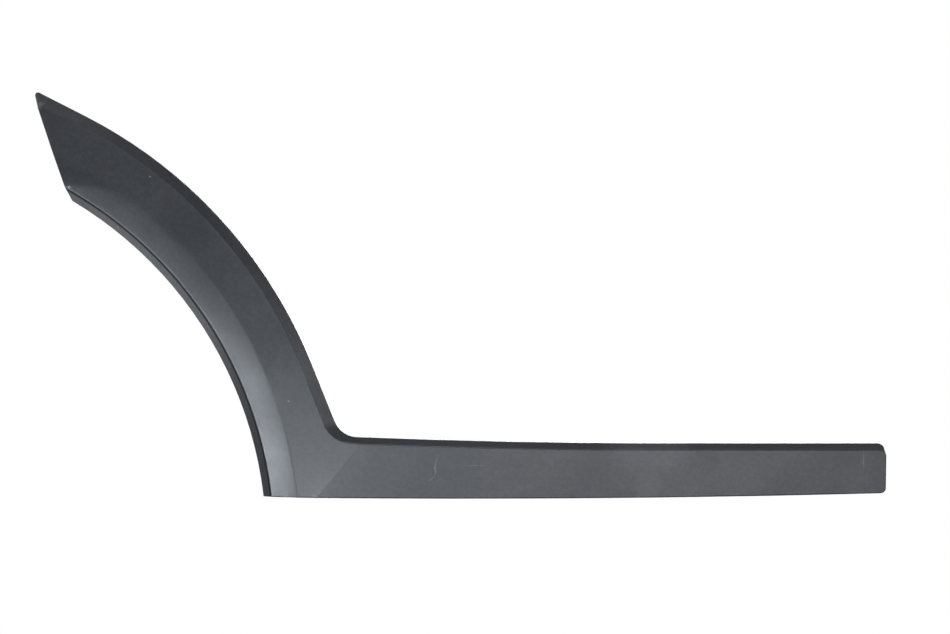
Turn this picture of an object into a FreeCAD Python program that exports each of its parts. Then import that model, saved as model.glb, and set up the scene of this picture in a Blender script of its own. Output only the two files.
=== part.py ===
"""Rear door moulding: a wheel-arch band with a sill bar, one moulded shell, and its push-in clips.

Frame: +X runs forward along the sill bar, +Z is up, +Y points into the door.
The door skin is the plane y = 0 and the show face stands proud of it towards -Y.
The origin is the axis of the main locating pin on the door skin.
Every outline is struck from the wheel centre, which is the local origin of the shell's bodies.
"""

import FreeCAD
import Part
import Sketcher
import math
import os
import re

doc = FreeCAD.newDocument("door_moulding")

# Driving sizes in millimetres and degrees.
SIZES = [
    # Wheel-arch band, from the wheel opening outwards
    ("opening_radius", 398.5),
    ("return_width", 9.0),
    ("inner_width", 26.0),
    ("middle_width", 36.5),
    ("chamfer_width", 10.0),
    ("flank_angle", 22.0),
    ("tip_angle", 63.0),
    ("shut_angle", 17.8),
    ("return_shut_angle", 26.0),
    ("end_angle", 60.95),
    # Sill bar, heights above the wheel centre
    ("bar_reach", 1018.4),
    ("bar_top", 99.9),
    ("bar_straight", 218.0),
    ("bar_top_bow", 7600.0),
    ("bar_chamfer_width", 6.0),
    ("sill_low", 44.9),
    ("sill_low_reach", 600.0),
    ("sill_bow", 15700.0),
    ("corner_radius", 24.5),
    ("end_top_radius", 7.5),
    ("end_low_radius", 5.5),
    # Section heights above the door skin
    ("edge_height", 12.0),
    ("arch_height", 23.0),
    ("crown_height", 29.0),
    ("middle_tilt", 7.0),
    ("inner_tilt", 20.0),
    ("step_depth", 2.0),
    ("return_tilt", 40.0),
    ("bar_height", 26.5),
    ("bar_tilt", 6.8),
    ("wall", 2.8),
    ("edge_round", 1.2),
    ("tip_round", 3.0),
    # Locating pins; the main one is the origin
    ("locator_reach", 455.0),
    ("locator_height", 75.0),
    ("pin_radius", 3.0),
    ("pin_length", 9.0),
    ("pin_taper", 2.0),
    ("boss_radius", 5.5),
    ("boss_gap", 1.0),
    ("gusset_length", 26.0),
    # Clip towers and clips
    ("arch_clip_first", 17.0),
    ("arch_clip_margin", 1.95),
    ("bar_clip_lead", 50.0),
    ("bar_clip_margin", 28.4),
    ("tower_length", 24.0),
    ("tower_width", 20.0),
    ("tower_wall", 1.8),
    ("tower_plate", 2.0),
    ("tower_gap", 4.0),
    ("slot_play", 0.1),
    ("neck_radius", 2.9),
    ("clip_base_radius", 7.5),
    ("clip_base_height", 1.5),
    ("clip_disc_radius", 8.0),
    ("clip_disc_height", 1.2),
    ("skirt_radius", 9.6),
    ("skirt_wall", 0.8),
    ("shank_radius", 3.5),
    ("barb_radius", 4.8),
    ("barb_height", 3.0),
    ("shank_length", 13.0),
    ("nose_radius", 1.6),
    ("shank_split", 1.6),
    # Stiffening ribs and drain notches
    ("rib_wall", 1.6),
    ("rib_gap", 8.0),
    ("drain_length", 14.0),
    ("drain_depth", 3.0),
]

ARCH_CLIPS = 4
BAR_CLIPS = 5
RIBS_PER_BAY = 2
DRAIN_BAYS = [0, 2, 3]

# Places that follow from the sizes, as formulas
STEP_RADIUS = "( opening_radius + return_width )"
CREASE_RADIUS = "( opening_radius + return_width + inner_width )"
OUTER_RADIUS = "( opening_radius + return_width + inner_width + middle_width + chamfer_width )"
CLIP_RADIUS = "( opening_radius + return_width + inner_width + middle_width / 2 )"
ARCH_PITCH = "( ( end_angle - arch_clip_margin - arch_clip_first ) / %d )" % (ARCH_CLIPS - 1)
BAR_FIRST = "( %s + bar_clip_lead )" % OUTER_RADIUS
BAR_LAST = "( bar_reach - bar_clip_margin )"
BAR_PITCH = "( ( %s - %s ) / %d )" % (BAR_LAST, BAR_FIRST, BAR_CLIPS - 1)

OVERCUT = 2.0
# Length by which the return face runs on past the opening before it is trimmed
FOOT_RUN = 20.0

sheet = doc.addObject("Spreadsheet::Sheet", "dims")
for row, (alias, value) in enumerate(SIZES, start=1):
    sheet.set("A%d" % row, alias)
    sheet.set("B%d" % row, str(value))
    sheet.setAlias("B%d" % row, alias)
workings = doc.addObject("Spreadsheet::Sheet", "workings")
doc.recompute()
SIZE = {alias: float(sheet.get(alias)) for alias, value in SIZES}


def ref(formula):
    """Turn the size names in a formula into references to the sheet's cells."""
    def cell(word):
        name = word.group()
        return "dims." + name if name in SIZE else name

    return re.sub(r"[a-z_]+", cell, formula)


def rotate(radius, degrees):
    """Point at a radius and angle from the wheel centre."""
    turn = math.radians(degrees)
    return FreeCAD.Vector(radius * math.cos(turn), radius * math.sin(turn), 0)


def add_sketch(body, name, role, offset=None):
    """Sketch on one of the body's own origin planes, moved along its normal by a formula."""
    sketch = body.newObject("Sketcher::SketchObject", name)
    plane = [item for item in body.Origin.OriginFeatures if item.Role == role][0]
    sketch.AttachmentSupport = [(plane, "")]
    sketch.MapMode = "FlatFace"
    if offset:
        sketch.setExpression("AttachmentOffset.Base.z", ref(offset))
    return sketch


def drive(sketch, kind, args, value, formula):
    """Add a measured constraint at its solved value and bind it to the sheet."""
    index = sketch.addConstraint(Sketcher.Constraint(kind, *args, value))
    sketch.setExpression("Constraints[%d]" % index, ref(formula))


def draw_polygon(sketch, corners):
    """Closed polygon whose corners are (x, y, x formula, y formula)."""
    count = len(corners)
    for i in range(count):
        start = FreeCAD.Vector(corners[i][0], corners[i][1], 0)
        end = FreeCAD.Vector(corners[(i + 1) % count][0], corners[(i + 1) % count][1], 0)
        sketch.addGeometry(Part.LineSegment(start, end))
    for i in range(count):
        sketch.addConstraint(Sketcher.Constraint("Coincident", i, 2, (i + 1) % count, 1))
    for i, (x, y, x_formula, y_formula) in enumerate(corners):
        drive(sketch, "DistanceX", (-1, 1, i, 1), x, x_formula)
        drive(sketch, "DistanceY", (-1, 1, i, 1), y, y_formula)


def number(formula):
    """Number that a formula of size names gives, worked out on a sheet of its own."""
    workings.set("A1", "=" + ref(formula))
    workings.recompute()
    return float(workings.get("A1"))


def meet_lines(normal_a, distance_a, normal_b, distance_b):
    """Crossing of two lines, each given by its normal's angle and its distance from the wheel centre."""
    a = rotate(1, normal_a)
    b = rotate(1, normal_b)
    det = a.x * b.y - a.y * b.x
    x = (distance_a * b.y - distance_b * a.y) / det
    y = (a.x * distance_b - b.x * distance_a) / det
    return FreeCAD.Vector(x, y, 0)


def meet_circles(centre_a, radius_a, centre_b, radius_b, lower):
    """Crossing of two circles, the lower or the upper one of the pair."""
    gap = centre_b.sub(centre_a)
    span = gap.Length
    along = (span * span + radius_a * radius_a - radius_b * radius_b) / (2 * span)
    aside = math.sqrt(radius_a * radius_a - along * along)
    axis = FreeCAD.Vector(gap).normalize()
    foot = centre_a + axis * along
    side = FreeCAD.Vector(-axis.y, axis.x, 0) * aside
    pair = sorted([foot + side, foot - side], key=lambda point: point.x)
    return pair[1] if lower else pair[0]


def bearing(centre, point):
    """Angle of a point seen from a centre, in radians."""
    return math.atan2(point.y - centre.y, point.x - centre.x)


def arc(centre, radius, start, end):
    """Arc that runs anticlockwise from one point to another."""
    first = bearing(centre, start)
    last = bearing(centre, end)
    if last < first:
        last += 2 * math.pi
    return Part.ArcOfCircle(Part.Circle(centre, FreeCAD.Vector(0, 0, 1), radius), first, last)


def draw_outline(sketch, inset, arch_run, bar_run):
    """The moulding's outline, moved in by an inset, and by a run on its outer and top edges."""
    opening = "opening_radius + " + inset
    outer = "%s - %s - %s" % (OUTER_RADIUS, inset, arch_run)
    corner = "corner_radius + %s + %s" % (inset, bar_run)
    top_bow = "bar_top_bow + %s + %s" % (inset, bar_run)
    sill_bow = "sill_bow - " + inset
    end_top = "end_top_radius - " + inset
    end_low = "end_low_radius - " + inset
    reach = "bar_reach - " + inset
    shut = "%s * cos( end_angle - shut_angle ) + %s" % (STEP_RADIUS, inset)
    return_shut = "%s * cos( end_angle - return_shut_angle ) + %s" % (STEP_RADIUS, inset)
    top_x = "bar_reach - bar_straight"
    top_y = "bar_top + bar_top_bow"
    sill_x = "sill_low_reach"
    sill_y = "sill_low + sill_bow"

    # Solved places of the corners and centres
    hub = FreeCAD.Vector(0, 0, 0)
    flank = SIZE["flank_angle"]
    tip = SIZE["tip_angle"]
    outer_r = number(outer)
    opening_r = number(opening)
    corner_r = number(corner)
    top_r = number(top_bow)
    sill_r = number(sill_bow)
    top_centre = FreeCAD.Vector(number(top_x), number(top_y), 0)
    sill_centre = FreeCAD.Vector(number(sill_x), number(sill_y), 0)
    end_x = number(reach)
    end_top_r = number(end_top)
    end_low_r = number(end_low)
    tip_point = meet_lines(tip, outer_r, SIZE["shut_angle"], number(shut))
    arch_top = rotate(outer_r, tip)
    arch_low = rotate(outer_r, flank)
    down = FreeCAD.Vector(math.sin(math.radians(flank)), -math.cos(math.radians(flank)), 0)
    corner_base = rotate(outer_r + corner_r, flank)
    reach_back = corner_base - top_centre
    half = reach_back.dot(down)
    drop = math.sqrt(half * half - reach_back.dot(reach_back) + (top_r - corner_r) ** 2) - half
    corner_centre = corner_base + down * drop
    flank_end = arch_low + down * drop
    towards = FreeCAD.Vector(corner_centre - top_centre).normalize()
    bar_start = top_centre + towards * top_r
    straight_start = FreeCAD.Vector(top_centre.x, top_centre.y - top_r, 0)
    straight_end = FreeCAD.Vector(end_x - end_top_r, straight_start.y, 0)
    end_top_centre = FreeCAD.Vector(straight_end.x, straight_end.y - end_top_r, 0)
    end_high = FreeCAD.Vector(end_x, end_top_centre.y, 0)
    low_x = end_x - end_low_r
    low_fall = math.sqrt((sill_r - end_low_r) ** 2 - (low_x - sill_centre.x) ** 2)
    end_low_centre = FreeCAD.Vector(low_x, sill_centre.y - low_fall, 0)
    end_low_point = FreeCAD.Vector(end_x, end_low_centre.y, 0)
    outward = FreeCAD.Vector(end_low_centre - sill_centre).normalize()
    sill_end = sill_centre + outward * sill_r
    sill_start = meet_circles(hub, opening_r, sill_centre, sill_r, True)
    return_angle = SIZE["return_shut_angle"]
    return_d = number(return_shut)
    rise = math.sqrt(opening_r ** 2 - return_d ** 2)
    return_end = rotate(return_d, return_angle) + rotate(rise, return_angle + 90)
    notch = meet_lines(SIZE["shut_angle"], number(shut), return_angle, return_d)

    sketch.addGeometry([
        Part.LineSegment(tip_point, arch_top),
        arc(hub, outer_r, arch_low, arch_top),
        Part.LineSegment(arch_low, flank_end),
        arc(corner_centre, corner_r, flank_end, bar_start),
        arc(top_centre, top_r, bar_start, straight_start),
        Part.LineSegment(straight_start, straight_end),
        arc(end_top_centre, end_top_r, end_high, straight_end),
        Part.LineSegment(end_high, end_low_point),
        arc(end_low_centre, end_low_r, sill_end, end_low_point),
        arc(sill_centre, sill_r, sill_start, sill_end),
        arc(hub, opening_r, sill_start, return_end),
        Part.LineSegment(return_end, notch),
        Part.LineSegment(notch, tip_point),
    ], False)
    tip_line, arch, flank_line, corner_arc, top_arc, top_line = range(6)
    end_top_arc, end_line, end_low_arc, sill, opening_arc, return_line, shut_line = range(6, 13)

    start, end, centre = 1, 2, 3
    for joint in [
        (tip_line, end, arch, end),
        (arch, start, flank_line, start),
        (flank_line, end, corner_arc, start),
        (corner_arc, end, top_arc, start),
        (top_arc, end, top_line, start),
        (top_line, end, end_top_arc, end),
        (end_top_arc, start, end_line, start),
        (end_line, end, end_low_arc, end),
        (end_low_arc, start, sill, end),
    ]:
        sketch.addConstraint(Sketcher.Constraint("Tangent", *joint))
    for joint in [
        (sill, start, opening_arc, start),
        (opening_arc, end, return_line, start),
        (return_line, end, shut_line, start),
        (shut_line, end, tip_line, start),
        (arch, centre, -1, 1),
        (opening_arc, centre, -1, 1),
    ]:
        sketch.addConstraint(Sketcher.Constraint("Coincident", *joint))
    sketch.addConstraint(Sketcher.Constraint("Horizontal", top_line))
    sketch.addConstraint(Sketcher.Constraint("Vertical", end_line))
    for edge, radius, formula in [
        (arch, outer_r, outer),
        (opening_arc, opening_r, opening),
        (corner_arc, corner_r, corner),
        (top_arc, top_r, top_bow),
        (sill, sill_r, sill_bow),
        (end_top_arc, end_top_r, end_top),
        (end_low_arc, end_low_r, end_low),
    ]:
        drive(sketch, "Radius", (edge,), radius, formula)
    for edge, place, x_formula, y_formula in [
        (top_arc, top_centre, top_x, top_y),
        (sill, sill_centre, sill_x, sill_y),
    ]:
        drive(sketch, "DistanceX", (-1, 1, edge, centre), place.x, x_formula)
        drive(sketch, "DistanceY", (-1, 1, edge, centre), place.y, y_formula)
    drive(sketch, "DistanceX", (-1, 1, end_line, start), end_x, reach)
    for edge, degrees, formula in [
        (tip_line, tip - 90, "tip_angle - 90"),
        (flank_line, flank - 90, "flank_angle - 90"),
        (return_line, return_angle + 90, "return_shut_angle + 90"),
        (shut_line, SIZE["shut_angle"] + 90, "shut_angle + 90"),
    ]:
        drive(sketch, "Angle", (edge,), math.radians(degrees), formula)
    drive(sketch, "Distance", (-1, 1, return_line), return_d, return_shut)
    drive(sketch, "Distance", (-1, 1, shut_line), number(shut), shut)


def arch_section(inset):
    """Corners of the band's section as formulas (radius, height), from the return outwards.

    The faces are the return, the step, the inner facet and the middle facet, each moved in by the inset.
    """
    crease_height = "( arch_height - middle_width * tan( middle_tilt ) )"
    face_height = "( %s - inner_width * tan( inner_tilt ) )" % crease_height
    return_height = "( %s - step_depth )" % face_height
    shift = "( ( inner_tilt + middle_tilt ) / 2 )"
    turn = "cos( ( inner_tilt - middle_tilt ) / 2 )"
    foot = (
        "%s - %g" % (STEP_RADIUS, FOOT_RUN),
        "%s - %g * tan( return_tilt ) - %s / cos( return_tilt )" % (return_height, FOOT_RUN, inset),
    )
    step_low = (
        "%s + %s" % (STEP_RADIUS, inset),
        "%s + %s * tan( return_tilt ) - %s / cos( return_tilt )" % (return_height, inset, inset),
    )
    step_high = (
        "%s + %s" % (STEP_RADIUS, inset),
        "%s + %s * tan( inner_tilt ) - %s / cos( inner_tilt )" % (face_height, inset, inset),
    )
    crease_point = (
        "%s + %s * sin( %s ) / %s" % (CREASE_RADIUS, inset, shift, turn),
        "%s - %s * cos( %s ) / %s" % (crease_height, inset, shift, turn),
    )
    above = "( crown_height + %g )" % OVERCUT
    peak = (
        "%s + ( %s - ( %s ) ) / tan( middle_tilt )" % (crease_point[0], above, crease_point[1]),
        above,
    )
    close = (foot[0], above)
    return [foot, step_low, step_high, crease_point, peak, close]


def make_form(name, inset, back):
    """Solid form of the moulding, moved in by an inset and run past the door skin at the back."""
    body = doc.addObject("PartDesign::Body", name)
    body.setExpression("Placement.Base.x", ref("0 - locator_reach"))
    body.setExpression("Placement.Base.z", ref("0 - locator_height"))
    slope = "atan( ( arch_height - edge_height ) / chamfer_width )"
    growth = "( crown_height - edge_height )"
    arch_run = "( chamfer_width * %s / ( arch_height - edge_height ) )" % growth
    bar_run = "( bar_chamfer_width * %s / ( bar_height - edge_height ) )" % growth
    lower = "%s * ( 1 - sin( %s ) ) / cos( %s )" % (inset, slope, slope)

    edge = add_sketch(body, name + "_edge", "XZ_Plane", "edge_height - " + lower)
    draw_outline(edge, inset, "0", "0")
    ridge = add_sketch(body, name + "_ridge", "XZ_Plane", "crown_height - " + lower)
    draw_outline(ridge, inset, arch_run, bar_run)
    doc.recompute()

    skirt = body.newObject("PartDesign::Pad", name + "_skirt")
    skirt.Profile = edge
    skirt.Reversed = True
    skirt.setExpression("Length", ref("edge_height - %s + %s" % (lower, back)))
    doc.recompute()
    crown = body.newObject("PartDesign::AdditiveLoft", name + "_crown")
    crown.Profile = edge
    crown.Sections = [ridge]
    crown.Ruled = True
    doc.recompute()

    section = add_sketch(body, name + "_section", "XY_Plane")
    corners = []
    for radius, height in arch_section(inset):
        depth = "0 - ( %s )" % height
        corners.append((number(radius), number(depth), radius, depth))
    draw_polygon(section, corners)
    doc.recompute()
    facets = body.newObject("PartDesign::Groove", name + "_facets")
    facets.Profile = section
    facets.ReferenceAxis = (section, ["V_Axis"])
    facets.Angle = 360
    doc.recompute()

    slant = add_sketch(body, name + "_slant", "YZ_Plane")
    above = "( crown_height + %g )" % OVERCUT
    face = "( bar_height - %s / cos( bar_tilt ) )" % inset
    drop = "( bar_top - bar_chamfer_width - sill_low + %g )" % OVERCUT
    low = "sill_low - %g" % OVERCUT
    low_depth = "0 - ( %s - %s * tan( bar_tilt ) )" % (face, drop)
    high = "bar_top - bar_chamfer_width + ( %s - %s ) / tan( bar_tilt )" % (above, face)
    corners = []
    for depth, height in [(low_depth, low), ("0 - " + above, high), ("0 - " + above, low)]:
        corners.append((number(depth), number(height), depth, height))
    draw_polygon(slant, corners)
    doc.recompute()
    bar_face = body.newObject("PartDesign::Pocket", name + "_bar_face")
    bar_face.Profile = slant
    bar_face.SideType = "Symmetric"
    bar_face.setExpression("Length", ref("4 * bar_reach"))
    doc.recompute()
    return body


def face_turn(shape, edge):
    """Angle in degrees between the two faces that meet at an edge, at its middle."""
    middle = edge.valueAt((edge.FirstParameter + edge.LastParameter) / 2)
    normals = []
    for face in shape.ancestorsOfType(edge, Part.Face):
        u, v = face.Surface.parameter(middle)
        normals.append(face.normalAt(u, v))
    if len(normals) != 2:
        return 0.0
    return math.degrees(normals[0].getAngle(normals[1]))


def round_edges(body, name, chosen, size):
    """Fillet the edges of the body's last feature that a test picks."""
    base = body.Tip
    names = []
    for index, edge in enumerate(base.Shape.Edges, start=1):
        if chosen(base.Shape, edge):
            names.append("Edge%d" % index)
    fillet = body.newObject("PartDesign::Fillet", name)
    fillet.Base = (base, names)
    fillet.setExpression("Radius", ref(size))
    doc.recompute()
    return fillet


def is_tip_corner(shape, edge):
    """The corner that runs in depth at the moulding's upper tip."""
    box = edge.BoundBox
    top = max(vertex.Z for vertex in shape.Vertexes)
    return abs(box.ZMax - top) < 1.0 and box.YLength > 0.5 * edge.Length


def is_show_edge(shape, edge):
    """A crease or rim of the show face: no corner that runs in depth, no seam, not the step's foot."""
    box = edge.BoundBox
    fall = "middle_width * tan(middle_tilt) + inner_width * tan(inner_tilt) + step_depth / 2"
    level = number("arch_height - ( %s )" % fall)
    if box.YMax > -level:
        return False
    if box.YLength > 0.5 * edge.Length:
        return False
    return face_turn(shape, edge) > 3.0


def make_tower():
    """Clip tower: a box open on one side, with a keyhole slot in the plate that carries the clip."""
    body = doc.addObject("PartDesign::Body", "clip_tower")
    half_length = "tower_length / 2"
    half_width = "tower_width / 2"
    block = add_sketch(body, "tower_block_plan", "XZ_Plane", "tower_gap")
    draw_rectangle(block, "0 - " + half_length, half_length, "0 - " + half_width, half_width)
    doc.recompute()
    pad = body.newObject("PartDesign::Pad", "tower_block")
    pad.Profile = block
    pad.setExpression("Length", ref("crown_height"))
    doc.recompute()
    room = add_sketch(body, "tower_room_plan", "XZ_Plane", "tower_gap + tower_plate")
    side = "( tower_width / 2 - tower_wall )"
    open_end = "tower_length / 2 + %g" % OVERCUT
    draw_rectangle(room, "tower_wall - tower_length / 2", open_end, "0 - " + side, side)
    doc.recompute()
    hollow = body.newObject("PartDesign::Pocket", "tower_room")
    hollow.Profile = room
    hollow.Reversed = True
    hollow.setExpression("Length", ref("crown_height"))
    doc.recompute()
    keyhole = add_sketch(body, "tower_slot_plan", "XZ_Plane", "tower_gap")
    draw_slot(keyhole, "neck_radius + slot_play", open_end)
    doc.recompute()
    slot = body.newObject("PartDesign::Pocket", "tower_slot")
    slot.Profile = keyhole
    slot.Reversed = True
    slot.setExpression("Length", ref("tower_plate"))
    doc.recompute()
    return body


def draw_rectangle(sketch, left, right, low, high):
    """Rectangle between four formulas."""
    corners = []
    for x, y in [(left, low), (right, low), (right, high), (left, high)]:
        corners.append((number(x), number(y), x, y))
    draw_polygon(sketch, corners)


def draw_slot(sketch, radius, mouth):
    """Slot with a round end at the sketch's origin and an open mouth along its x axis."""
    r = number(radius)
    x = number(mouth)
    up = FreeCAD.Vector(0, r, 0)
    down = FreeCAD.Vector(0, -r, 0)
    origin = FreeCAD.Vector(0, 0, 0)
    sketch.addGeometry([
        arc(origin, r, up, down),
        Part.LineSegment(down, FreeCAD.Vector(x, -r, 0)),
        Part.LineSegment(FreeCAD.Vector(x, -r, 0), FreeCAD.Vector(x, r, 0)),
        Part.LineSegment(FreeCAD.Vector(x, r, 0), up),
    ], False)
    sketch.addConstraint(Sketcher.Constraint("Coincident", 0, 3, -1, 1))
    sketch.addConstraint(Sketcher.Constraint("Tangent", 0, 2, 1, 1))
    sketch.addConstraint(Sketcher.Constraint("Coincident", 1, 2, 2, 1))
    sketch.addConstraint(Sketcher.Constraint("Coincident", 2, 2, 3, 1))
    sketch.addConstraint(Sketcher.Constraint("Tangent", 3, 2, 0, 1))
    sketch.addConstraint(Sketcher.Constraint("Horizontal", 1))
    sketch.addConstraint(Sketcher.Constraint("Vertical", 2))
    drive(sketch, "Radius", (0,), r, radius)
    drive(sketch, "DistanceX", (-1, 1, 1, 2), x, mouth)


def make_clip():
    """Push-in clip: base and upper disc on a neck, sealing skirt, and a split barbed shank."""
    body = doc.addObject("PartDesign::Body", "retaining_clip")
    half = add_sketch(body, "clip_half_section", "XY_Plane")
    plate_low = "( 0 - tower_gap - tower_plate - slot_play )"
    disc_top = "( clip_disc_height - tower_gap )"
    skirt_level = "( 0 - slot_play )"
    corners = []
    for radius, depth in [
        ("0", "%s - clip_base_height" % plate_low),
        ("clip_base_radius", "%s - clip_base_height" % plate_low),
        ("clip_base_radius", plate_low),
        ("neck_radius", plate_low),
        ("neck_radius", "0 - tower_gap"),
        ("clip_disc_radius", "0 - tower_gap"),
        ("clip_disc_radius", "%s - skirt_wall / 2" % disc_top),
        ("skirt_radius", skirt_level),
        ("skirt_radius - skirt_wall", skirt_level),
        ("clip_disc_radius - skirt_wall", disc_top),
        ("shank_radius", disc_top),
        ("shank_radius", "barb_height / 3"),
        ("barb_radius", "barb_height"),
        ("nose_radius", "shank_length"),
        ("0", "shank_length"),
    ]:
        corners.append((number(radius), number(depth), radius, depth))
    draw_polygon(half, corners)
    doc.recompute()
    turned = body.newObject("PartDesign::Revolution", "clip_turned")
    turned.Profile = half
    turned.ReferenceAxis = (half, ["V_Axis"])
    turned.Angle = 360
    doc.recompute()
    gap = add_sketch(body, "clip_split_plan", "XY_Plane")
    split = "( shank_split / 2 )"
    draw_rectangle(gap, "0 - " + split, split, "barb_height / 6", "shank_length - 2 * nose_radius")
    doc.recompute()
    cut = body.newObject("PartDesign::Pocket", "clip_split")
    cut.Profile = gap
    cut.SideType = "Symmetric"
    cut.setExpression("Length", ref("4 * barb_radius"))
    doc.recompute()
    return body


def place(item, x, z, turn, depth="0"):
    """Put an object at formulas for its place on the door, turned about the door's normal."""
    spin = FreeCAD.Rotation(FreeCAD.Vector(0, 1, 0), -number(turn))
    item.Placement = FreeCAD.Placement(FreeCAD.Vector(number(x), number(depth), number(z)), spin)
    item.setExpression("Placement.Base.x", ref(x))
    item.setExpression("Placement.Base.y", ref(depth))
    item.setExpression("Placement.Base.z", ref(z))


def stations():
    """Places of the clips as formulas (x, z, turn): round the arch, then along the bar."""
    found = []
    for i in range(ARCH_CLIPS):
        angle = "( arch_clip_first + %d * %s )" % (i, ARCH_PITCH)
        x = "%s * cos( %s ) - locator_reach" % (CLIP_RADIUS, angle)
        z = "%s * sin( %s ) - locator_height" % (CLIP_RADIUS, angle)
        found.append((x, z, "%s + 90" % angle))
    for i in range(BAR_CLIPS):
        found.append(("%s + %d * %s - locator_reach" % (BAR_FIRST, i, BAR_PITCH), bar_middle(), "0"))
    return found


def bar_middle():
    """Height of the bar's middle line above the main pin, as a formula."""
    return "( bar_top + sill_low ) / 2 - locator_height"


def copies(source, name):
    """Group of links to one body, one at each clip station."""
    links = []
    for i, (x, z, turn) in enumerate(stations(), start=1):
        link = doc.addObject("App::Link", "%s_%d" % (name, i))
        link.LinkedObject = source
        place(link, x, z, turn)
        links.append(link)
    return links


def add_box(name, x, z, turn, length, width, deep, top):
    """Box centred on a place, turned about the door's normal, from a depth to a level near the door."""
    box = doc.addObject("Part::Box", name)
    box.setExpression("Length", ref(length))
    box.setExpression("Height", ref(width))
    box.setExpression("Width", ref("%s - ( %s )" % (deep, top)))
    angle = "( %s )" % turn
    corner_x = "%s - ( %s ) / 2 * cos( %s ) + ( %s ) / 2 * sin( %s )" % (x, length, angle, width, angle)
    corner_z = "%s - ( %s ) / 2 * sin( %s ) - ( %s ) / 2 * cos( %s )" % (z, length, angle, width, angle)
    place(box, corner_x, corner_z, turn, "0 - ( %s )" % deep)
    return box


def rib_steps(clips):
    """Thirds of a clip pitch at which ribs stand: one before the first clip, then two in each bay."""
    parts = RIBS_PER_BAY + 1
    return [step for step in range(-1, (clips - 1) * parts) if step % parts]


def make_ribs():
    """Stiffening ribs across the bar and the arch band, and crossed gussets round the locating pins."""
    ribs = []
    parts = RIBS_PER_BAY + 1
    for step in rib_steps(BAR_CLIPS):
        x = "%s + %s * %d / %d - locator_reach" % (BAR_FIRST, BAR_PITCH, step, parts)
        ribs.append(add_box("bar_rib_%d" % (len(ribs) + 1), x, bar_middle(), "0", "rib_wall",
                            "bar_top + corner_radius - sill_low", "crown_height", "rib_gap"))
    band = "( return_width + inner_width + middle_width + chamfer_width )"
    radius = "( opening_radius + %s / 2 )" % band
    for step in rib_steps(ARCH_CLIPS):
        angle = "( arch_clip_first + %s * %d / %d )" % (ARCH_PITCH, step, parts)
        x = "%s * cos( %s ) - locator_reach" % (radius, angle)
        z = "%s * sin( %s ) - locator_height" % (radius, angle)
        ribs.append(add_box("arch_rib_%d" % (len(ribs) + 1), x, z, angle, band, "rib_wall",
                            "crown_height", "rib_gap"))
    for name, x, z in pin_places():
        for turn, label in [("45", "rising"), ("135", "falling")]:
            ribs.append(add_box("%s_gusset_%s" % (name, label), x, z, turn, "gusset_length", "rib_wall",
                                "crown_height", "rib_gap / 2"))
    return ribs


def pin_places():
    """Names and places of the locating pins as formulas."""
    far_x = "%s - %s / 2 - locator_reach" % (BAR_LAST, BAR_PITCH)
    return [("main_pin", "0", "0"), ("far_pin", far_x, bar_middle())]


def add_round(kind, name, x, z, start, sizes):
    """Part::Cylinder or Part::Cone along the door's normal, from a starting depth."""
    item = doc.addObject(kind, name)
    for size, formula in sizes:
        item.setExpression(size, ref(formula))
    lie = FreeCAD.Rotation(FreeCAD.Vector(1, 0, 0), -90)
    item.Placement = FreeCAD.Placement(FreeCAD.Vector(number(x), number(start), number(z)), lie)
    item.setExpression("Placement.Base.x", ref(x))
    item.setExpression("Placement.Base.y", ref(start))
    item.setExpression("Placement.Base.z", ref(z))
    return item


def make_bosses():
    """Round bosses that carry the locating pins."""
    bosses = []
    for name, x, z in pin_places():
        bosses.append(add_round("Part::Cylinder", name + "_boss", x, z, "0 - crown_height",
                                [("Radius", "boss_radius"), ("Height", "crown_height - boss_gap")]))
    return bosses


def make_pins():
    """Locating pins that enter the door, each with a tapered end."""
    pins = []
    for name, x, z in pin_places():
        root = "3 * boss_gap"
        height = "%s + pin_length - pin_taper" % root
        shaft_sizes = [("Radius", "pin_radius"), ("Height", height)]
        end_sizes = [("Radius1", "pin_radius"), ("Radius2", "pin_radius / 2"), ("Height", "pin_taper")]
        pins.append(add_round("Part::Cylinder", name, x, z, "0 - " + root, shaft_sizes))
        pins.append(add_round("Part::Cone", name + "_end", x, z, "pin_length - pin_taper", end_sizes))
    return pins


def make_drains():
    """Drain notches in the rim of the sill wall."""
    drains = []
    for bay in DRAIN_BAYS:
        x = "%s + %s * ( %d + 1 / 4 ) - locator_reach" % (BAR_FIRST, BAR_PITCH, bay)
        drains.append(add_box("drain_%d" % (bay + 1), x, "sill_low + wall - locator_height", "0",
                              "drain_length", "4 * wall", "drain_depth", "0 - %g" % OVERCUT))
    return drains


def group(name, items):
    """Part::Compound of a list of objects."""
    holder = doc.addObject("Part::Compound", name)
    holder.Links = items
    return holder


def difference(name, base, tool):
    """Part::Cut of one object from another."""
    cut = doc.addObject("Part::Cut", name)
    cut.Base = base
    cut.Tool = tool
    doc.recompute()
    return cut


# Shell: the outer form less the cavity, which leaves out towers, ribs and bosses
outer_form = make_form("outer_form", "0", "0")
round_edges(outer_form, "tip_rounding", is_tip_corner, "tip_round")
round_edges(outer_form, "show_edge_rounding", is_show_edge, "edge_round")
cavity_form = make_form("cavity_form", "wall", "%g" % OVERCUT)
tower = make_tower()
inside = group("inside_features", copies(tower, "tower") + make_ribs() + make_bosses())
doc.recompute()
cavity = difference("cavity", cavity_form, inside)
shell = difference("shell", outer_form, cavity)
drained = difference("drained_shell", shell, group("drains", make_drains()))
moulding = doc.addObject("Part::MultiFuse", "door_moulding")
moulding.Shapes = [drained] + make_pins()
moulding.Label = "door_moulding"

# Clips: one body, linked to each tower
clip = make_clip()
clips = group("retaining_clips", copies(clip, "clip"))
clips.Label = "retaining_clips"
doc.recompute()

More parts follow.
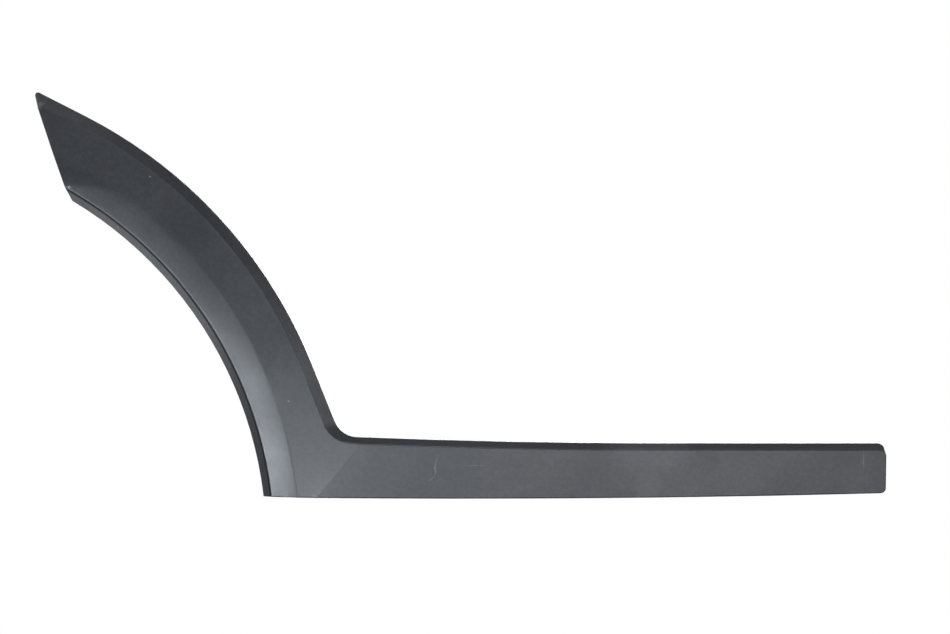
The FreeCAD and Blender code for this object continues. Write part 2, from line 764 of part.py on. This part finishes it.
# Every object has to be sound before anything is written
for item in doc.Objects:
    if "Invalid" in item.State or "Error" in item.State:
        raise RuntimeError("%s is in state %s" % (item.Name, item.State))
    shape = getattr(item, "Shape", None)
    if shape is not None and (shape.isNull() or not shape.isValid()):
        raise RuntimeError("%s has no valid shape" % item.Name)

os.makedirs("parts", exist_ok=True)
for part in [moulding, clips]:
    part.Shape.exportStep("parts/%s.step" % part.Label)
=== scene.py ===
"""Dressed scene of the rear door moulding: materials, studio light and the photo's camera."""

import math

import bpy
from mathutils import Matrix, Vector


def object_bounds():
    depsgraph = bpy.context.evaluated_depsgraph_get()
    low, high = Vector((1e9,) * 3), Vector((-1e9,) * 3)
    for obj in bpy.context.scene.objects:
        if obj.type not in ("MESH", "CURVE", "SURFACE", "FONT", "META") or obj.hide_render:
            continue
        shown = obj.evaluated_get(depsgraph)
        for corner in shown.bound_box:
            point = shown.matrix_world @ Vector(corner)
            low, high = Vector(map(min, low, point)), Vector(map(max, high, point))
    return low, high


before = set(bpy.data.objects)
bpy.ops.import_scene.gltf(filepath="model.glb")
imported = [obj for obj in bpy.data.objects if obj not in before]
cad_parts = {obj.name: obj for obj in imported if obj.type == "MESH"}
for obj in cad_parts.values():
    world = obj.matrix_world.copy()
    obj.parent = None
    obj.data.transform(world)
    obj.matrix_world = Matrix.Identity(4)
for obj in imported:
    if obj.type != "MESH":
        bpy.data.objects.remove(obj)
cad_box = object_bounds()

MM = 0.001
OUTWARD = (0, -1, 0)
DOOR_PLANE = (1, 0, 1)

# Photo frame: one pixel is one millimetre on the plane of the moulding's edge
PHOTO_WIDTH = 950
PHOTO_HEIGHT = 634
ORIGIN_PX = (321.36, 468.23)
EDGE_DEPTH = -0.012

# Camera, in metres, with its sensor's width in millimetres
CAMERA_DISTANCE = 3.2
CAMERA_REACH = 50.0
SENSOR_WIDTH = 36.0

# In what follows, a noise is its scale, detail and roughness. A spread is the span of a value and what
# its two ends become, which is 0 and 1 where only the span is given.

# Floor below the part, which runs out to white away from its middle, and the room
FLOOR_DROP = 0.6
FLOOR_SIZE = 16.0
FLOOR_PAINT = (0.8, 0.8, 0.8, 1)
FLOOR_WHITE = (0.4, 1.25, 0.55, 1.0)
WHITE = (1, 1, 1, 1)
WHITE_LEVEL = 1.0
ROOM_LEVEL = 0.03
BEHIND_PART = (0.9, 0.99)

# Soft boxes: name, place, target, width, height, watts, tint
PLAIN = (0.95, 0.97, 1.0)
COOL = (0.86, 0.935, 1.0)
LAMPS = [
    ("key_low", (-0.222, -0.798, -0.22), (0.0, 0.0, 0.05), 0.2, 0.2, 2.95, COOL),
    ("bar_strip", (0.38, -0.853, -0.23), (0.3, 0.0, 0.0), 0.65, 0.2, 1.4, PLAIN),
    ("left", (-2.0, -1.886, -0.375), (0.0, 0.0, 0.1), 0.4, 0.4, 27.0, COOL),
    ("opening", (-0.991, -0.082, -0.48), (0.1, 0.0, 0.15), 0.2, 0.2, 0.6, PLAIN),
    ("top", (-0.5, -0.35, 2.5), (0.1, 0.0, 0.15), 1.5, 1.3, 42.0, PLAIN),
    ("side", (1.666, -0.471, 0.411), (0.2, 0.0, 0.1), 0.2, 1.0, 15.0, PLAIN),
    ("back_low", (0.15, 1.3, -0.42), (0.15, 0.0, 0.1), 1.8, 0.3, 14.0, PLAIN),
    ("back", (0.15, 2.2, 0.1), (0.15, 0.0, 0.1), 2.4, 1.1, 34.0, PLAIN),
    ("back_left", (-1.9, 1.0, 1.5), (0.1, 0.0, 0.1), 0.9, 0.9, 26.0, PLAIN),
]

# Colour of the moulded plastic: soft clouds and fine flecks between two tones
PLASTIC_DARK = (0.0365, 0.0375, 0.0420, 1)
PLASTIC_PALE = (0.0455, 0.0470, 0.0525, 1)
CLOUD_NOISE = (9.0, 4.0, 0.6)
CLOUD_TONE = (0.3, 0.7, 0.1, 0.75)
FLECK_NOISE = (260.0, 2.0, 0.6)
FLECK_TONE = (0.35, 0.65, -0.4, 0.4)

# Relief of the plastic: grain of noise and cells, and long waves, with depths in metres
GRAIN_NOISE = (820.0, 2.0, 0.55)
CELL_SCALE = 0.8 * GRAIN_NOISE[0]
CELL_SHARE = 0.5
GRAIN_STRENGTH = 0.14
GRAIN_DEPTH = 0.0004
BACK_GRAIN = 0.2
WAVE_NOISE = (7.0, 2.0, 0.5)
WAVE_STRENGTH = 0.10
WAVE_DEPTH = 0.004

# Gloss of the plastic, and how much the marks and the dull tip take from it
SATIN_NOISE = (22.0, 4.0, 0.6)
SATIN_ROUGH = (0.3, 0.7, 0.30, 0.36)
BACK_ROUGH = 0.34
MARK_ROUGH = 0.25
DULL_ROUGH = 0.35
DULL_SHADE = 0.6
GLOSS = 0.5

# Spans of the normal's Y on the faces to the front, and on the arch's facets without their chamfer
FRONT_FACING = (0.15, -0.15)
FACET_FACING = (-0.84, -0.9)

# Shading of the arch's facets about the wheel centre, in metres, radians and slopes. The inner facet is
# slightly bowed and its crease is soft. Up the arch both facets lean less, and near the tip the crease
# runs in to the step.
WHEEL_CENTRE = (-0.455, 0.0, -0.075)
STEP_RADIUS = 0.4075
CREASE_RADIUS = 0.434
CREASE_SOFT = (0.6, 0.96, 0.002, 0.007)
BEND_START = 0.89
BEND_RATE = 0.82
INNER_SLOPE = (0.09, 0.19, 0.364, 0.235)
MIDDLE_SLOPE = (0.06, 0.15, 0.123, 0.04)
MIDDLE_TURNS = (0.28, 0.40)
BOW_SLOPE = (0.02, 0.2, 0.062, 0.093)
BOW_START = -0.4

# Bands round the arch, in millimetres outwards from the step: start, full, fade, end
RETURN_BAND = (-11.5, -10.0, -2.0, -0.3)
STEP_LINE = (-2.7, -1.3, -0.4, 0.2)
RIM_LINE = (-0.2, 0.4, 1.2, 2.0)
INNER_BAND = (0.9, 1.9, 39.5, 43.5)
MIDDLE_BAND = (32.5, 38.5, 60.0, 62.0)

# Painted shade in dark lines at the step, the return's foot and the bar's lower edge and far end
# Painted highlight on the pale rim at the step's edge
PAINTED_SHADE_COLOUR = (0.004, 0.004, 0.005, 1)
PAINTED_SHADE_SHARE = 0.8
RETURN_PAINTED_SHADE = (0.05, 0.16, 0.38, 0.0)
LOW_FACING = (-0.15, -0.4)
LOW_LEVELS = (-0.0175, -0.0205)
FAR_FACING = (0.3, 0.6)
FAR_REACHES = (0.557, 0.560)
EDGE_FACING = (-0.1, -0.3)
RIM_PAINTED_HIGHLIGHT = 0.12

# Dull end of the tip: place in the photo, and where it is full and where it ends, in millimetres
DULL_PX = (38.0, 98.0)
DULL_REACH = (5.5, 11.0)

# Wear on the show face, and a painted highlight of a reflection on the bar (patch, patch_foot), in
# millimetres
# and degrees: place in the photo, half length, half width, turn, wobble, strength
MARKS = {
    "scuff": ((436.0, 466.0), 12.0, 0.9, 80.0, 3.0, 0.16),
    "scuff_foot": ((432.0, 478.0), 4.0, 0.8, 40.0, 1.6, 0.13),
    "scratch": ((475.0, 465.0), 11.0, 0.6, 1.0, 0.3, 0.10),
    # patch and patch_foot are a painted highlight: a reflection on the bar put into the colour
    "patch": ((648.0, 450.0), 46.0, 26.0, 0.0, 8.0, 0.06),
    "patch_foot": ((648.0, 482.0), 28.0, 15.0, 90.0, 5.0, 0.045),
    "streak": ((862.0, 460.0), 10.0, 0.55, 90.0, 0.3, 0.17),
    "speck_a": ((69.0, 187.0), 1.9, 1.5, 0.0, 0.3, 0.55),
    "smudge": ((41.0, 107.0), 7.0, 3.2, 60.0, 1.6, 0.10),
    "speck_b": ((289.0, 401.0), 1.1, 0.9, 0.0, 0.2, 0.40),
    "speck_c": ((151.0, 177.0), 1.1, 0.9, 0.0, 0.2, 0.35),
    "speck_d": ((117.0, 227.0), 1.0, 0.9, 0.0, 0.2, 0.30),
}
MARK_COLOUR = (0.42, 0.42, 0.43, 1)
MARK_EDGE = (0.45, 1.15)
MARK_DEPTH = 1000.0
WOBBLE_NOISE = (150.0, 2.0, 0.6)
WOBBLE_MIDDLE = (0.5, 0.5, 0.5)
BREAK_NOISE = (900.0, 2.0, 0.7)
BREAK_SHARE = (0.32, 0.55, 0.45, 1.0)

# Hairline rubs along the bar, and dust that lies in blotches
HAIR_STRETCH = (14.0, 240.0, 620.0)
HAIR_NOISE = (1.0, 2.0, 0.5)
HAIR_SHARE = (0.70, 0.78, 0.0, 0.015)
DUST_NOISE = (34.0, 5.0, 0.7)
DUST_SHARE = (0.52, 0.75, 0.0, 0.022)

# Nylon of the clips, with lengths in metres
NYLON_DARK = (0.54, 0.52, 0.44, 1)
NYLON_PALE = (0.66, 0.64, 0.57, 1)
NYLON_NOISE = (120.0, 4.0, 0.6)
NYLON_TONE = (0.3, 0.7)
DIRT_COLOUR = (0.30, 0.28, 0.24, 1)
DIRT_NOISE = (420.0, 3.0, 0.6)
DIRT_SHARE = (0.6, 0.78, 0.0, 0.35)
NYLON_SATIN_NOISE = (200.0, 3.0, 0.5)
NYLON_ROUGH = (0.3, 0.7, 0.34, 0.5)
NYLON_GRAIN_NOISE = (1500.0, 3.0, 0.5)
NYLON_GRAIN_STRENGTH = 0.12
NYLON_GRAIN_DEPTH = 0.0002
NYLON_DEEP_SHARE = 0.15
NYLON_DEEP_REACH = (0.002, 0.0018, 0.0012)


def photo_point(px, py, depth=EDGE_DEPTH):
    """Point of the row frame behind a pixel of the photo, at a depth."""
    return Vector(((px - ORIGIN_PX[0]) * MM, depth, (ORIGIN_PX[1] - py) * MM))


def add_camera():
    """Level camera square to the door, which sees the photo's frame."""
    centre = photo_point(PHOTO_WIDTH / 2, PHOTO_HEIGHT / 2)
    data = bpy.data.cameras.new("photo_camera")
    camera = bpy.data.objects.new("photo_camera", data)
    bpy.context.collection.objects.link(camera)
    data.sensor_fit = "HORIZONTAL"
    data.sensor_width = SENSOR_WIDTH
    data.lens = SENSOR_WIDTH * CAMERA_DISTANCE / (PHOTO_WIDTH * MM)
    data.clip_end = CAMERA_REACH
    camera.location = centre + Vector((0, -CAMERA_DISTANCE, 0))
    camera.rotation_euler = (math.pi / 2, 0, 0)
    bpy.context.scene.camera = camera


def add_softbox(name, place, target, width, height, watts, tint):
    """Rectangular lamp that looks at a target."""
    data = bpy.data.lights.new(name, "AREA")
    data.shape = "RECTANGLE"
    data.size = width
    data.size_y = height
    data.energy = watts
    data.color = tint
    lamp = bpy.data.objects.new(name, data)
    bpy.context.collection.objects.link(lamp)
    lamp.visible_camera = False
    lamp.location = place
    lamp.rotation_euler = (Vector(target) - Vector(place)).to_track_quat("-Z", "Y").to_euler()


class Tree:
    """Shorthand for a node tree, which it empties first."""

    def __init__(self, tree):
        self.nodes = tree.nodes
        self.links = tree.links
        self.nodes.clear()

    def node(self, kind, inputs=None, **settings):
        """New node with its settings, and its inputs set or linked, by name or number."""
        node = self.nodes.new("ShaderNode" + kind)
        for key, value in settings.items():
            setattr(node, key, value)
        for key, value in (inputs or {}).items():
            if isinstance(value, bpy.types.NodeSocket):
                self.links.new(value, node.inputs[key])
            else:
                node.inputs[key].default_value = value
        return node

    def math(self, operation, a, b):
        return self.node("Math", {0: a, 1: b}, operation=operation).outputs[0]

    def product(self, first, *others):
        for other in others:
            first = self.math("MULTIPLY", first, other)
        return first

    def largest(self, first, *others):
        for other in others:
            first = self.math("MAXIMUM", first, other)
        return first

    def inverse(self, share):
        return self.math("SUBTRACT", 1.0, share)

    def spread(self, value, low, high, at_low=0.0, at_high=1.0, kind="SMOOTHSTEP"):
        """Map a value from one span to another, held at both ends, with a soft start and end."""
        inputs = {"Value": value, "From Min": low, "From Max": high, "To Min": at_low, "To Max": at_high}
        return self.node("MapRange", inputs, interpolation_type=kind).outputs["Result"]

    def noise(self, place, scale, detail, rough, name="Fac"):
        inputs = {"Vector": place, "Scale": scale, "Detail": detail, "Roughness": rough}
        return self.node("TexNoise", inputs).outputs[name]

    def vector(self, operation, a, b=(0, 0, 0)):
        return self.node("VectorMath", {0: a, 1: b}, operation=operation).outputs["Vector"]

    def scaled(self, a, scale):
        return self.node("VectorMath", {0: a, "Scale": scale}, operation="SCALE").outputs["Vector"]

    def length(self, a):
        return self.node("VectorMath", {0: a}, operation="LENGTH").outputs["Value"]

    def parts(self, a):
        """Outputs X, Y and Z of a vector."""
        return self.node("SeparateXYZ", {0: a}).outputs

    def blend(self, share, a, b):
        """Colour between two others."""
        return self.node("Mix", {"Factor": share, 6: a, 7: b}, data_type="RGBA").outputs[2]

    def mix(self, share, a, b):
        """Shader between two others."""
        return self.node("MixShader", {"Fac": share, 1: a, 2: b}).outputs["Shader"]

    def bump(self, height, strength, depth, normal=None):
        inputs = {"Height": height, "Strength": strength, "Distance": depth}
        if normal is not None:
            inputs["Normal"] = normal
        return self.node("Bump", inputs).outputs["Normal"]


def new_material(name):
    material = bpy.data.materials.new(name)
    material.use_nodes = True
    return material, Tree(material.node_tree)


def flat_offset(tree, place, point):
    """Way from a point to the place, in the plane of the door."""
    return tree.vector("MULTIPLY", tree.vector("SUBTRACT", place, point), DOOR_PLANE)


def ring(tree, radius, start, full, fade, end):
    """Band round the arch between distances from the step, soft at both sides."""
    rising = tree.spread(radius, STEP_RADIUS + start * MM, STEP_RADIUS + full * MM)
    falling = tree.spread(radius, STEP_RADIUS + fade * MM, STEP_RADIUS + end * MM, 1.0, 0.0)
    return tree.product(rising, falling)


def base_colour(tree, place):
    """Charcoal with soft clouds and fine flecks."""
    cloud = tree.spread(tree.noise(place, *CLOUD_NOISE), *CLOUD_TONE)
    fleck = tree.spread(tree.noise(place, *FLECK_NOISE), *FLECK_TONE)
    return tree.blend(tree.math("ADD", cloud, fleck), PLASTIC_DARK, PLASTIC_PALE)


def mark_mask(tree, place, field, pixel, length, width, turn, wobble, strength):
    """Soft patch on the show face: an ellipse whose outline wanders by the wobble either way."""
    centre = photo_point(*pixel)
    local = tree.node(
        "Mapping",
        {
            "Vector": tree.vector("ADD", place, tree.scaled(field, 2 * wobble * MM)),
            "Location": (centre.x, 0, centre.z),
            "Rotation": (0, -math.radians(turn), 0),
            "Scale": (length * MM, MARK_DEPTH, width * MM),
        },
        vector_type="TEXTURE",
    )
    return tree.spread(tree.length(local.outputs["Vector"]), *MARK_EDGE, strength, 0.0)


def wear_and_highlights(tree, place, front):
    """All marks on the show face, wear and the painted highlight patches, broken up by a fine noise."""
    field = tree.vector("SUBTRACT", tree.noise(place, *WOBBLE_NOISE, "Color"), WOBBLE_MIDDLE)
    masks = [mark_mask(tree, place, field, *mark) for mark in MARKS.values()]
    broken = tree.spread(tree.noise(place, *BREAK_NOISE), *BREAK_SHARE)
    return tree.product(tree.largest(*masks), broken, front)


def veil(tree, place, front):
    """Hairline rubs and dust on the show face."""
    along = tree.node("Mapping", {"Vector": place, "Scale": HAIR_STRETCH}).outputs["Vector"]
    hair = tree.spread(tree.noise(along, *HAIR_NOISE), *HAIR_SHARE)
    dust = tree.spread(tree.noise(place, *DUST_NOISE), *DUST_SHARE)
    return tree.product(tree.math("ADD", hair, dust), front)


def painted_shade_lines(tree, spot, facing, radius, front):
    """Painted shade at the step, on the foot of the return, and on the bar's lower edge and far end."""
    step = tree.product(ring(tree, radius, *STEP_LINE), front, PAINTED_SHADE_SHARE)
    foot = tree.product(ring(tree, radius, *RETURN_BAND), front, tree.spread(spot["Z"], *RETURN_PAINTED_SHADE))
    low_edge = tree.product(tree.spread(facing["Z"], *LOW_FACING), tree.spread(spot["Z"], *LOW_LEVELS))
    far_edge = tree.product(tree.spread(facing["X"], *FAR_FACING), tree.spread(spot["X"], *FAR_REACHES))
    edges = tree.product(
        tree.largest(low_edge, far_edge), tree.spread(facing["Y"], *EDGE_FACING), PAINTED_SHADE_SHARE
    )
    return tree.largest(step, foot, edges)


def dull_tip(tree, place):
    """Dull end of the moulding's tip."""
    full, end = DULL_REACH
    away = tree.length(flat_offset(tree, place, tuple(photo_point(*DULL_PX))))
    return tree.spread(away, full * MM, end * MM, 1.0, 0.0)


def crease_share(tree, turn, radius):
    """Share of the middle facet, which rises from none to all across the soft crease."""
    past = tree.math("MAXIMUM", tree.math("SUBTRACT", turn, BEND_START), 0.0)
    crease = tree.math("SUBTRACT", CREASE_RADIUS, tree.product(past, past, BEND_RATE))
    outside = tree.math("SUBTRACT", radius, crease)
    return tree.spread(tree.math("DIVIDE", outside, tree.spread(turn, *CREASE_SOFT)), -1.0, 1.0)


def facet_slope(tree, turn, radius, level):
    """Slope of the arch's show face along its spokes."""
    across = tree.spread(radius, STEP_RADIUS, CREASE_RADIUS, BOW_START, 1.0, kind="LINEAR")
    bow = tree.product(across, tree.spread(level, *BOW_SLOPE))
    inner = tree.math("SUBTRACT", tree.spread(level, *INNER_SLOPE), bow)
    change = tree.math("SUBTRACT", tree.spread(level, *MIDDLE_SLOPE), inner)
    return tree.math("ADD", inner, tree.product(crease_share(tree, turn, radius), change))


def facet_normal(tree, spoke, radius, spot, facing):
    """The part's own normal, turned on the arch's facets to their slope."""
    way = tree.parts(spoke)
    turn = tree.math("ARCTAN2", way["Z"], way["X"])
    lean = tree.scaled(tree.vector("NORMALIZE", spoke), facet_slope(tree, turn, radius, spot["Z"]))
    formed = tree.vector("NORMALIZE", tree.vector("SUBTRACT", OUTWARD, lean))

    middle = tree.product(ring(tree, radius, *MIDDLE_BAND), tree.spread(turn, *MIDDLE_TURNS))
    share = tree.largest(ring(tree, radius, *INNER_BAND), middle)
    share = tree.product(share, tree.spread(facing["Y"], *FACET_FACING))
    plain = tree.scaled(tree.node("NewGeometry").outputs["Normal"], tree.inverse(share))
    return tree.vector("NORMALIZE", tree.vector("ADD", plain, tree.scaled(formed, share)))


def relief(tree, place, front, normal):
    """Normal with the moulded grain, which is weaker on the back, and with long waves."""
    cells = tree.node("TexVoronoi", {"Vector": place, "Scale": CELL_SCALE}, feature="SMOOTH_F1")
    cell_height = tree.product(cells.outputs["Distance"], CELL_SHARE)
    height = tree.math("ADD", tree.noise(place, *GRAIN_NOISE), cell_height)
    strength = tree.product(tree.math("ADD", front, BACK_GRAIN), GRAIN_STRENGTH)
    normal = tree.bump(height, strength, GRAIN_DEPTH, normal)
    return tree.bump(tree.noise(place, *WAVE_NOISE), WAVE_STRENGTH, WAVE_DEPTH, normal)


def satin(tree, place, front, marked, dull):
    """Roughness: satin on the show face, plain on the back, and more on the marks and where it is dull."""
    show = tree.spread(tree.noise(place, *SATIN_NOISE), *SATIN_ROUGH)
    show = tree.math("ADD", show, tree.product(marked, MARK_ROUGH))
    back = tree.product(tree.inverse(front), BACK_ROUGH)
    rough = tree.math("ADD", tree.product(show, front), back)
    return tree.math("ADD", rough, tree.product(dull, DULL_ROUGH))


def plastic():
    """Satin charcoal plastic, finely grained and mottled; on the show face light wear, painted highlights
    and shade.
    """
    material, tree = new_material("grained_plastic")
    coords = tree.node("TexCoord").outputs
    place = coords["Object"]
    spot = tree.parts(place)
    facing = tree.parts(coords["Normal"])
    front = tree.spread(facing["Y"], *FRONT_FACING)
    spoke = flat_offset(tree, place, WHEEL_CENTRE)
    radius = tree.length(spoke)

    marked = wear_and_highlights(tree, place, front)
    painted_shading = painted_shade_lines(tree, spot, facing, radius, front)
    # Painted highlight: a pale rim line along the step's edge
    rim = tree.product(ring(tree, radius, *RIM_LINE), front, RIM_PAINTED_HIGHLIGHT)
    dull = dull_tip(tree, place)

    colour = base_colour(tree, place)
    # Wear, dust and the painted highlight patches on the bar lighten the colour
    colour = tree.blend(tree.math("ADD", marked, veil(tree, place, front)), colour, MARK_COLOUR)
    # Painted shade: dark lines where shade falls at the step, the return's foot and the bar's edges
    colour = tree.blend(painted_shading, colour, PAINTED_SHADE_COLOUR)
    # Painted highlight: the rim line lightens the colour
    colour = tree.blend(rim, colour, MARK_COLOUR)
    hidden = tree.largest(painted_shading, tree.product(dull, DULL_SHADE))
    normal = facet_normal(tree, spoke, radius, spot, facing)

    shader = tree.node("BsdfPrincipled", {
        "Base Color": colour,
        "Roughness": satin(tree, place, front, marked, dull),
        "Normal": relief(tree, place, front, normal),
        "Specular IOR Level": tree.product(tree.inverse(hidden), GLOSS),
    })
    tree.node("OutputMaterial", {"Surface": shader.outputs["BSDF"]})
    return material


def nylon():
    """Natural nylon of the clips: off-white, faintly mottled, satin."""
    material, tree = new_material("clip_nylon")
    place = tree.node("TexCoord").outputs["Object"]
    tone = tree.spread(tree.noise(place, *NYLON_NOISE), *NYLON_TONE)
    dirt = tree.spread(tree.noise(place, *DIRT_NOISE), *DIRT_SHARE)
    grain = tree.noise(place, *NYLON_GRAIN_NOISE)
    shader = tree.node("BsdfPrincipled", {
        "Base Color": tree.blend(dirt, tree.blend(tone, NYLON_DARK, NYLON_PALE), DIRT_COLOUR),
        "Roughness": tree.spread(tree.noise(place, *NYLON_SATIN_NOISE), *NYLON_ROUGH),
        "Normal": tree.bump(grain, NYLON_GRAIN_STRENGTH, NYLON_GRAIN_DEPTH),
        "Subsurface Weight": NYLON_DEEP_SHARE,
        "Subsurface Radius": NYLON_DEEP_REACH,
        "Subsurface Scale": 1.0,
    })
    tree.node("OutputMaterial", {"Surface": shader.outputs["BSDF"]})
    return material


def dress(node, material):
    """Give a piece its material."""
    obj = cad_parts[node]
    obj.data.materials.clear()
    obj.data.materials.append(material)


def set_world():
    """Low even room light, and white that the camera sees, and reflections where it is behind the part."""
    world = bpy.data.worlds.new("studio")
    bpy.context.scene.world = world
    world.use_nodes = True
    tree = Tree(world.node_tree)
    room = tree.node("Background", {"Color": WHITE, "Strength": ROOM_LEVEL})
    white = tree.node("Background", {"Color": WHITE, "Strength": WHITE_LEVEL})
    rays = tree.node("LightPath").outputs
    heading = tree.parts(tree.node("TexCoord").outputs["Generated"])
    behind = tree.spread(heading["Y"], *BEHIND_PART)
    mirrored = tree.largest(rays["Is Glossy Ray"], rays["Is Transmission Ray"])
    share = tree.largest(rays["Is Camera Ray"], tree.product(mirrored, behind))
    shader = tree.mix(share, room.outputs["Background"], white.outputs["Background"])
    tree.node("OutputWorld", {"Surface": shader})


def add_floor():
    """Pale floor that keeps the part's shadow near it and runs out to white."""
    bpy.ops.mesh.primitive_plane_add(size=FLOOR_SIZE, location=(0, 0, cad_box[0][2] - FLOOR_DROP))
    floor = bpy.context.object
    floor.name = "floor"
    material, tree = new_material("floor_white")
    paint = tree.node("BsdfDiffuse", {"Color": FLOOR_PAINT})
    glow = tree.node("Emission", {"Strength": WHITE_LEVEL})
    away = tree.length(tree.node("TexCoord").outputs["Object"])
    seen = tree.node("LightPath").outputs["Is Camera Ray"]
    share = tree.product(seen, tree.spread(away, *FLOOR_WHITE))
    shader = tree.mix(share, paint.outputs["BSDF"], glow.outputs["Emission"])
    tree.node("OutputMaterial", {"Surface": shader})
    floor.data.materials.append(material)


add_camera()
set_world()
add_floor()
for lamp in LAMPS:
    add_softbox(*lamp)

dress("door_moulding", plastic())
dress("retaining_clips", nylon())

scene = bpy.context.scene
scene.view_settings.view_transform = "Standard"
